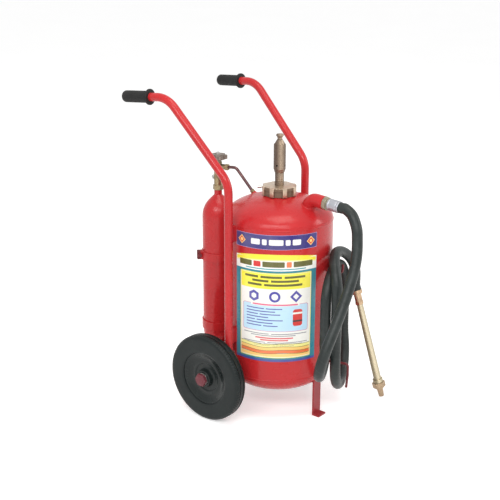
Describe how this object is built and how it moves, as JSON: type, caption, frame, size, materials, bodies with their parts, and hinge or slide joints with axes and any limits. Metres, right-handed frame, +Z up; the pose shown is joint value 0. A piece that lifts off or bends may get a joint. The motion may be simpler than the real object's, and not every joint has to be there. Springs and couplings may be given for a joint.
{
  "type": "wheeled fire extinguisher",
  "caption": "Wheeled dry powder fire extinguisher: upright tank on two wheels and a front leg, side gas cylinder, tube handles, relief valve on the cap, and a coiled hose with a nozzle.",
  "frame": {"origin": "on the floor, on the plane of symmetry of the trolley, midway between the foremost hose hook and the ends of the grips", "axes": "+Z up, -Y the front with the hose and the leg, +Y towards the grips, +X to the right of someone who looks at the front"},
  "size_m": [0.5694, 0.7887, 1.0538],
  "materials": {
    "red_paint": "gloss enamel",
    "name_strip": "gloss printed film",
    "label": "gloss printed film",
    "aged_brass": "aged, satin",
    "bright_brass": "satin",
    "zinc_steel": "satin",
    "ferrule_alloy": "satin",
    "hose_rubber": "matte, wrapped",
    "grip_rubber": "matte",
    "seal_rubber": "matte",
    "tyre_rubber": "satin",
    "wheel_black": "satin",
    "valve_wheel_iron": "painted, worn",
    "copper_pipe": "dull, brown"
  },
  "bodies": {
    "extinguisher": {"tank_shell": "red_paint", "top_dish": "red_paint", "bottom_dish": "red_paint", "neck_ring": "red_paint", "name_strip": "name_strip", "instruction_label": "label", "cap": "aged_brass", "cap_gasket": "seal_rubber", "cap_locking_screw": "zinc_steel", "relief_body": "aged_brass", "relief_barrel": "aged_brass", "relief_bonnet": "aged_brass", "relief_spring": "zinc_steel", "siphon_tube": "zinc_steel", "outlet_elbow": "red_paint", "outlet_adaptor": "aged_brass", "hose_ferrule": "ferrule_alloy", "hose_lead": "hose_rubber", "hose_hank": "hose_rubber", "hose_tail": "hose_rubber", "nozzle_coupling": "bright_brass", "nozzle_tube": "bright_brass", "nozzle_tip": "bright_brass", "gas_boss": "red_paint", "gas_inlet_tube": "zinc_steel", "gas_pipe": "copper_pipe", "pipe_nuts": "bright_brass", "gas_cylinder": "red_paint", "valve_body": "aged_brass", "gland_nut": "bright_brass", "burst_disc_plug": "zinc_steel", "clamp_bands": "red_paint", "clamp_saddles": "red_paint", "clamp_bolts": "zinc_steel", "cylinder_rest": "red_paint", "left_handle": "red_paint", "right_handle": "red_paint", "left_grip": "grip_rubber", "right_grip": "grip_rubber", "handle_stays": "red_paint", "axle_brackets": "red_paint", "stub_axles": "zinc_steel", "axle_washers": "zinc_steel", "hub_nuts": "red_paint", "front_leg": "red_paint", "hose_hooks": "red_paint"},
    "left_wheel": {"left_tyre": "tyre_rubber", "left_rim": "wheel_black", "left_bush": "bright_brass"},
    "right_wheel": {"right_tyre": "tyre_rubber", "right_rim": "wheel_black", "right_bush": "bright_brass"},
    "valve_wheel": {"valve_spindle": "zinc_steel", "handwheel": "valve_wheel_iron", "handwheel_nut": "zinc_steel"},
    "relief_lifter": {"relief_stem": "zinc_steel", "relief_seal": "seal_rubber", "relief_knob": "aged_brass"},
    "shutoff_collar": {"nozzle_collar": "bright_brass"}
  },
  "joints": [
    {"name": "left_wheel_spin", "type": "hinge", "parent": "extinguisher", "child": "left_wheel", "pos_m": [-0.242, -0.00648, 0.144], "axis": [1, 0, 0], "continuous": true},
    {"name": "right_wheel_spin", "type": "hinge", "parent": "extinguisher", "child": "right_wheel", "pos_m": [0.242, -0.00648, 0.144], "axis": [1, 0, 0], "continuous": true},
    {"name": "gas_valve_turn", "type": "hinge", "parent": "extinguisher", "child": "valve_wheel", "pos_m": [0, 0.15152, 0.80204], "axis": [0, 0, 1], "range_deg": [0, 450]},
    {"name": "relief_lift", "type": "slide", "parent": "extinguisher", "child": "relief_lifter", "axis": [0, 0, 1], "range_m": [0, 0.006], "stiffness_N_per_m": 8700, "springref_m": -0.004, "deforming": ["relief_spring"]},
    {"name": "shutoff_turn", "type": "hinge", "parent": "extinguisher", "child": "shutoff_collar", "pos_m": [0.21951, -0.37319, 0.05779], "axis": [0.1472, -0.2026, -0.9681], "range_deg": [0, 90]}
  ]
}
